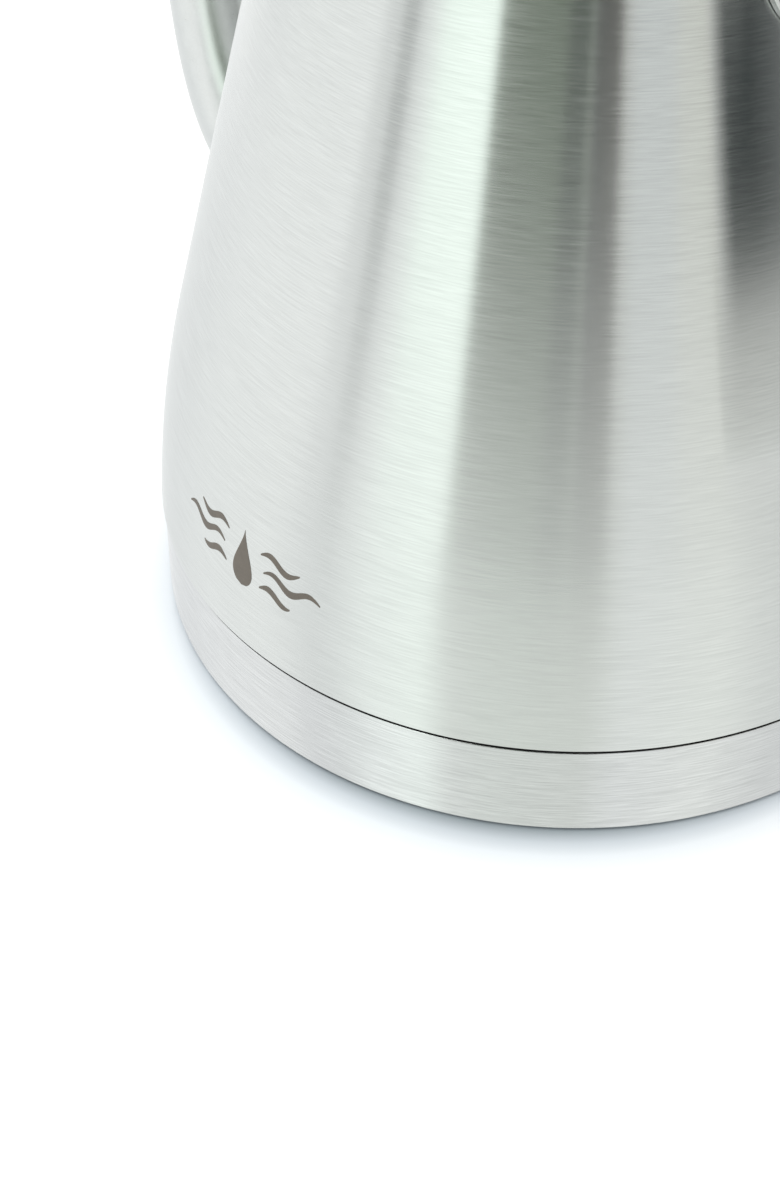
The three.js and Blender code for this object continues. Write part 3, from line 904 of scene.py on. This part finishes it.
def make_mouth_ring():
    """The neck sleeve and the bead that is rolled over the shell's edge."""
    low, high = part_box("mouth_ring")
    neck = 40.5 * MM
    sleeve = neck + WALL
    flange = RIM_Z + CLEAR
    drop = RIM_Z - 2.2 * MM
    lip = flank(drop) + CLEAR
    profile = rounded([
        (neck, low.z, 0.3 * MM), (sleeve, low.z, 0.3 * MM), (sleeve, flange, 0.1 * MM),
        (lip, flange, 0.1 * MM), (lip, drop, 0.1 * MM), (high.x, drop, 0.5 * MM),
        (high.x, high.z, 1.4 * MM), (neck, high.z, 0.8 * MM),
    ], steps=8)
    ring = revolve("mouth_bead", profile, 192)
    finish_piece(ring, "satin", "kettle", "mouth_ring")


# ---- handle ------------------------------------------------------------------------------
def grip_path():
    start = Vector(GRIP_START)
    outward = direction(GRIP_RISE)
    elbow = start + outward * 31 * MM
    reach = Vector(GRIP_REACH)
    end = Vector(GRIP_END)
    up = Vector((0, 1))
    return PlanePath(
        (start, elbow),
        (elbow, elbow + outward * 22 * MM, reach + up * 24 * MM, reach),
        (reach, reach - up * 18 * MM, end + Vector((5 * MM, 16 * MM)), end),
    )


GRIP = grip_path()
END_ROUNDING = 7 * MM
SCREW_SPOTS = [GRIP.at(share)[0] for share in SCREW_SHARES]


def grip_size(share):
    """Half height and half width: deep at the root, slim at the elbow, full in the palm."""
    root = 1 - smoothstep(share, 0.05, 0.42)
    palm = math.sin(math.pi * smoothstep(share, 0.38, 1.15)) ** 2
    from_end = min((1 - share) * GRIP.length / END_ROUNDING, 1)
    tip = 0.0004
    close = math.sqrt(max(1 - (1 - from_end) ** 2, tip))
    high = (7.55 + 3.4 * root + 1.6 * palm) * MM * close
    wide = (9.6 + 0.6 * root + 1.2 * palm) * MM * close
    return high, wide


def grip_stations():
    """Even steps along the grip, then steps that follow its rounded end."""
    straight = 1 - END_ROUNDING / GRIP.length
    rounding = [
        1 - END_ROUNDING / GRIP.length * (1 - math.sin(turn))
        for turn in evenly(12, 0, math.pi / 2)
    ]
    return evenly(90, 0, straight) + rounding[1:]


def grip_half_outline(share, side):
    """Half of an oval, flat at the parting plane, with the flat's edges broken."""
    high, wide = grip_size(share)
    near = side * CLEAR / 2
    bevel = min(0.5 * MM, high * 0.3)
    quarter = math.pi / 2 - 0.04
    outline = [(high - bevel, near), (-(high - bevel), near)]
    for turn in evenly(28, -quarter, quarter):
        outline.append((high * math.sin(turn), near + side * wide * math.cos(turn)))
    return outline


def bar_outline(half_high, half_wide):
    return [
        (half_high, half_wide), (-half_high, half_wide),
        (-half_high, -half_wide), (half_high, -half_wide),
    ]


def tang(name, extra):
    """The flat bar inside the grip, thicker all round than the real one by extra."""
    outline = bar_outline(4.5 * MM + extra, 1.5 * MM + extra)
    return joined_loops(name, [section(GRIP, share, outline) for share in evenly(60, 0, TANG_END)])


def cross_rod(name, radius, spot, near, far):
    """A rod along Y between two distances from the parting plane."""
    return along_y([(0, -far), (radius, -far), (radius, -near), (0, -near)], spot.x, spot.y, name)


def make_grip(side, node, fastener):
    """One half of the grip, hollowed for the tang, the fastener and its head."""
    sharp = 40
    far = 20 * MM
    half = joined_loops(node + "_half", [
        section(GRIP, share, grip_half_outline(share, side)) for share in grip_stations()
    ], sharp=sharp)
    cutters = [envelope(SADDLE_T + 2 * CLEAR), tang("pocket", CLEAR)]
    for spot in SCREW_SPOTS:
        seat = sorted((side * SEAT_Y, side * far))
        cutters.append(cross_rod("bore", fastener + CLEAR, spot, -far, far))
        cutters.append(cross_rod("seat", HEAD_R + CLEAR, spot, *seat))
    combine(half, cutters, sharp=sharp)
    finish_piece(half, "phenolic", "kettle", node)


def make_bracket():
    """The saddle plate, which follows the shell, with the tang welded to it."""
    radius = 12.8 * MM
    centre = GRIP_START[1]
    near, far = CLEAR, CLEAR + SADDLE_T
    edge = 0.6 * MM
    hole = 5 * MM
    face = [(radius * share, far) for share in evenly(10, 0, 0.9)]
    back = [(radius * share, near) for share in evenly(10, 0.95, 0)]
    profile = rounded([*face, (radius, far, edge), (radius, near, 0.3 * MM), *back], closed=False)
    saddle = revolve("bracket", profile, 72)
    for vertex in saddle.data.vertices:
        across, rise, out = vertex.co
        z = centre + rise
        vertex.co = (math.sqrt((flank(z) + out) ** 2 - across ** 2), across, z)
    plate = tang("plate", 0)
    combine(plate, [envelope(CLEAR + SADDLE_T / 2)])
    combine(saddle, [plate], "UNION")
    holes = [cross_rod("hole", SHANK_R + CLEAR, spot, -hole, hole) for spot in SCREW_SPOTS]
    combine(saddle, holes)
    finish_piece(saddle, "satin", "kettle", "handle_bracket")


def make_ferrule():
    """The band round the grip's root, with a rolled outer edge."""
    end = 0.105  # share of the grip's length
    thick = 0.4 * MM
    at_edge = end - thick / GRIP.length
    loops = []

    def ring(share, extra):
        high, wide = grip_size(share)
        loops.append(section(GRIP, share, ellipse(high + extra, wide + extra, 64)))

    for share in evenly(14, 0, at_edge):
        ring(share, CLEAR + 2 * thick)
    for turn in evenly(8, 0, math.pi):
        ring(end - thick * (1 - math.sin(turn)) / GRIP.length, CLEAR + thick * (1 + math.cos(turn)))
    for share in evenly(14, at_edge, 0):
        ring(share, CLEAR)
    band = joined_loops("ferrule", loops, closed_along=True)
    combine(band, [envelope(SADDLE_T + 2 * CLEAR)])
    finish_piece(band, "satin", "kettle", "handle_ferrule")


def slotted(piece, centre, length, width, depth_low, depth_high, axis):
    """Cuts a straight slot, its length along X, into a screw head that faces along Y or Z."""
    x, z = centre
    if axis == "Y":
        low = (x - length / 2, depth_low, z - width / 2)
        high = (x + length / 2, depth_high, z + width / 2)
    else:
        low = (x - length / 2, z - width / 2, depth_low)
        high = (x + length / 2, z + width / 2, depth_high)
    return combine(piece, [box("slot", low, high)])


def make_fasteners():
    """Slotted screws from the front into barrel nuts from the back, with their heads domed."""
    head_in, head_out = SEAT_Y + CLEAR, SEAT_Y + CLEAR + HEAD_H
    slot_in, slot_out = head_out - SLOT_DEPTH, head_out + 1 * MM
    dome_end = [(HEAD_R, head_out - 0.2 * MM, 0.5 * MM), (0, head_out)]
    bore = SHANK_R + CLEAR
    start = 1.5 * MM + CLEAR
    end = -(SEAT_Y - 1.2 * MM)
    for i, spot in enumerate(SCREW_SPOTS):
        shank = [(0, end), (SHANK_R, end, 0.4 * MM), (SHANK_R, head_in), (HEAD_R, head_in, 0.2 * MM)]
        screw = along_y(rounded(shank + dome_end, closed=False), spot.x, spot.y, f"screw_{i + 1}")
        slotted(screw, spot, *SLOT, -slot_out, -slot_in, "Y")
        finish_piece(screw, "satin", "kettle", f"grip_screw_{i + 1}")

        barrel = [
            (bore, start), (BARREL_R, start, 0.3 * MM), (BARREL_R, head_in),
            (HEAD_R, head_in, 0.2 * MM), *dome_end, (0, SEAT_Y), (bore, SEAT_Y),
        ]
        nut = revolve(f"nut_{i + 1}", rounded(barrel), 48)
        place(nut, Matrix.Translation((spot.x, 0, spot.y)) @ Matrix.Rotation(-math.pi / 2, 4, "X"))
        slotted(nut, spot, *SLOT, slot_in, slot_out, "Y")
        finish_piece(nut, "satin", "kettle", f"grip_nut_{i + 1}")


# ---- lid ---------------------------------------------------------------------------------
lid_low, lid_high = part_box("lid_cover")
LID_R = lid_high.x
LID_Z = lid_low.z
DOME_Z = lid_high.z
LID_EDGE = 1.8 * MM
DOME_RISE = DOME_Z - LID_Z - LID_EDGE
DOME_R = (LID_R ** 2 + DOME_RISE ** 2) / (2 * DOME_RISE)
SCREW_HOLE = SHANK_R + CLEAR


def dome(radius):
    return DOME_Z - DOME_R + math.sqrt(DOME_R ** 2 - radius ** 2)


def make_lid_cover():
    """A shallow dome with a turned-down edge and three steam holes on the handle's side."""
    inner = LID_R - WALL
    brow = LID_R - 2.5 * MM
    hole_r = 1.3 * MM
    hole_x = 31 * MM
    apart = 8  # degrees
    under = [(r, dome(r) - WALL) for r in evenly(24, SCREW_HOLE, brow)]
    over = [(r, dome(r)) for r in evenly(24, brow, SCREW_HOLE)]
    profile = rounded([
        *under, (inner, dome(inner) - WALL, 0.6 * MM), (inner, LID_Z, 0.3 * MM),
        (LID_R, LID_Z, 0.3 * MM), (LID_R, dome(LID_R), 1.1 * MM), *over,
    ])
    cover = revolve("lid_dome", profile, 192)
    holes = []
    for turn in (-apart, 0, apart):
        spot = Matrix.Rotation(math.radians(turn), 4, "Z") @ Vector((hole_x, 0, 0))
        rod = revolve("steam_hole", [(0, LID_Z), (hole_r, LID_Z), (hole_r, DOME_Z), (0, DOME_Z)], 32)
        holes.append(place(rod, Matrix.Translation(spot)))
    combine(cover, holes)
    finish_piece(cover, "lid", "lid", "lid_cover")


def make_lid_collar():
    """The collar under the dome, flanged inward at its lower edge."""
    low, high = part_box("lid_collar")
    radius = high.x
    inner = radius - WALL
    flange = inner - 3 * MM
    profile = rounded([
        (flange, low.z, 0.3 * MM), (radius, low.z, 1.3 * MM), (radius, high.z, 0.2 * MM),
        (inner, high.z, 0.2 * MM), (inner, low.z + WALL, 0.6 * MM), (flange, low.z + WALL, 0.3 * MM),
    ])
    collar = revolve("lid_skirt", profile, 160)
    finish_piece(collar, "satin", "lid", "lid_collar")


def make_lid_seal():
    """A silicone ring with two soft lips."""
    low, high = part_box("lid_seal")
    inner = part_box("lid_collar")[1].x + CLEAR
    body = inner + 0.8 * MM
    lip = high.x
    groove = lip - 0.5 * MM
    z = low.z
    profile = rounded([
        (inner, z, 0.2 * MM), (body, z, 0.3 * MM), (lip, z + 0.8 * MM, 0.25 * MM),
        (groove, z + 1.8 * MM, 0.3 * MM), (groove, z + 2.4 * MM, 0.3 * MM),
        (lip, z + 3.4 * MM, 0.25 * MM), (body, high.z, 0.3 * MM), (inner, high.z, 0.2 * MM),
    ], steps=4)
    seal = revolve("seal", profile, 160)
    finish_piece(seal, "silicone", "lid", "lid_seal")


def make_knob_ferrule():
    """The steel disc between the dome and the knob."""
    disc = flat_ring("knob_disc", "knob_ferrule", SCREW_HOLE, (0, 0.2 * MM, 0.7 * MM, 0), 96)
    finish_piece(disc, "satin", "lid", "knob_ferrule")


def catmull_rom(a, b, c, d, t):
    """The spline's value between b and c, with a and d their neighbours."""
    square = 2 * a - 5 * b + 4 * c - d
    cube = 3 * b - a - 3 * c + d
    return 0.5 * (2 * b + (c - a) * t + square * t ** 2 + cube * t ** 3)


def smooth_line(points, steps=6):
    """A smooth curve through all the points."""
    line = [points[0]]
    ends = [points[0], *points, points[-1]]
    for before, start, end, after in zip(ends, ends[1:], ends[2:], ends[3:]):
        for step in range(1, steps + 1):
            t = step / steps
            line.append(tuple(catmull_rom(*four, t) for four in zip(before, start, end, after)))
    return line


def make_knob():
    """A waisted knob, bored from below for its insert. Its outline is in mm."""
    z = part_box("lid_knob")[0].z
    insert_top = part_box("knob_insert")[1].z
    bore = 3.6 * MM + CLEAR
    roof = insert_top + 2 * CLEAR
    foot = 8.3 * MM
    outline = [
        (8.6, 0.4), (8.15, 1.8), (8.1, 3.2), (8.7, 6.0), (10.6, 8.9), (12.6, 11.4),
        (13.6, 14.4), (13.0, 17.0), (11.4, 18.7), (8.4, 19.6), (4.2, 19.95), (0, 20),
    ]
    outside = smooth_line([(r * MM, z + rise * MM) for r, rise in outline])
    profile = [(0, roof), (bore, roof), (bore, z), (foot, z), *outside]
    knob = revolve("knob", profile, 96, sharp=45)
    finish_piece(knob, "phenolic", "lid", "lid_knob")


def make_knob_fixings():
    """The brass insert in the knob, and the washer and cross-slotted screw under the dome."""
    edge = 0.3 * MM
    insert = flat_ring("insert", "knob_insert", SCREW_HOLE, (0, edge, edge, 0), 48)
    finish_piece(insert, "brass", "lid", "knob_insert")

    washer = flat_ring("washer", "knob_washer", SCREW_HOLE, [0.15 * MM] * 4, 64)
    finish_piece(washer, "satin", "lid", "knob_washer")

    low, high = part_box("knob_screw")
    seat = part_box("knob_washer")[0].z - CLEAR
    screw = revolve("cross_screw", rounded([
        (0, low.z), (HEAD_R, low.z + 0.3 * MM, 1 * MM), (HEAD_R, seat, 0.2 * MM),
        (SHANK_R, seat), (SHANK_R, high.z, 0.4 * MM), (0, high.z),
    ], closed=False), 48)
    length, width = 5 * MM, 1 * MM
    for size in ((length, width), (width, length)):
        slotted(screw, (0, 0), *size, low.z - 1 * MM, low.z + 1.1 * MM, "Z")
    finish_piece(screw, "satin", "lid", "knob_screw")


# ---- emblem ------------------------------------------------------------------------------
def emblem_strip(name, spine):
    """A thin inlay on the shell. The spine gives (along, up, half width along, half width up)."""
    proud, sunk = 0.03 * MM, -0.15 * MM
    across = 7
    loops = []
    for along, up, half_along, half_up in spine:
        loop = []
        for out, shares in ((proud, evenly(across, -1, 1)), (sunk, evenly(across, 1, -1))):
            for share in shares:
                z = EMBLEM_Z + up + half_up * share
                azimuth = EMBLEM_AZIMUTH + (along + half_along * share) / flank(z)
                loop.append(flank_point(azimuth, z, out))
        loops.append(loop)
    piece = joined_loops(name, loops)
    finish_piece(piece, "emblem", "kettle")


def emblem_drop():
    """A water drop, from its tip down to its round foot."""
    top = 5.6 * MM
    tall = 11 * MM
    widest = 3.1 * MM
    tip = 0.02 * MM
    spine = []
    for share in evenly(28):
        round_foot = math.sqrt(max(math.sin(math.pi * share ** 1.7), 0))
        spine.append((0, top - tall * share, widest * round_foot * share ** 0.55 + tip, 0))
    emblem_strip("emblem_drop", spine)


def emblem_ripple(name, side, start, end, height):
    """A wave that runs away from the drop to one side and tapers at both ends."""
    wave = 8.5 * MM
    swing = 0.8 * MM
    spine = []
    for share in evenly(40):
        gone = (end - start) * share
        rise = swing * math.sin(2 * math.pi * gone / wave)
        half = (0.14 + 0.55 * math.sin(math.pi * share) ** 0.8) * MM
        spine.append((side * (start + gone), height + rise, 0, half))
    emblem_strip(name, spine)


def make_emblem():
    """A plain water drop with three ripples on each side, etched dark into the shell."""
    rows = ((4.4, 13.5, 3.4), (5.4, 18.2, 0.2), (4.6, 12, -3.2))  # start, end and height in mm
    emblem_drop()
    for side, word in ((-1, "left"), (1, "right")):
        for number, row in enumerate(rows, 1):
            start, end, height = (value * MM for value in row)
            emblem_ripple(f"emblem_ripple_{word}_{number}", side, start, end, height)


# ---- the kettle --------------------------------------------------------------------------
make_camera()
make_stage()
MATERIALS = make_materials()

make_shell()
make_base_cup()
make_pan()
make_spreader()
make_mouth_ring()
make_spout()
make_spout_collar()
make_bracket()
make_ferrule()
make_grip(-1, "grip_front", SHANK_R)
make_grip(1, "grip_back", BARREL_R)
make_fasteners()
make_lid_cover()
make_lid_collar()
make_lid_seal()
make_knob_ferrule()
make_knob()
make_knob_fixings()
make_emblem()
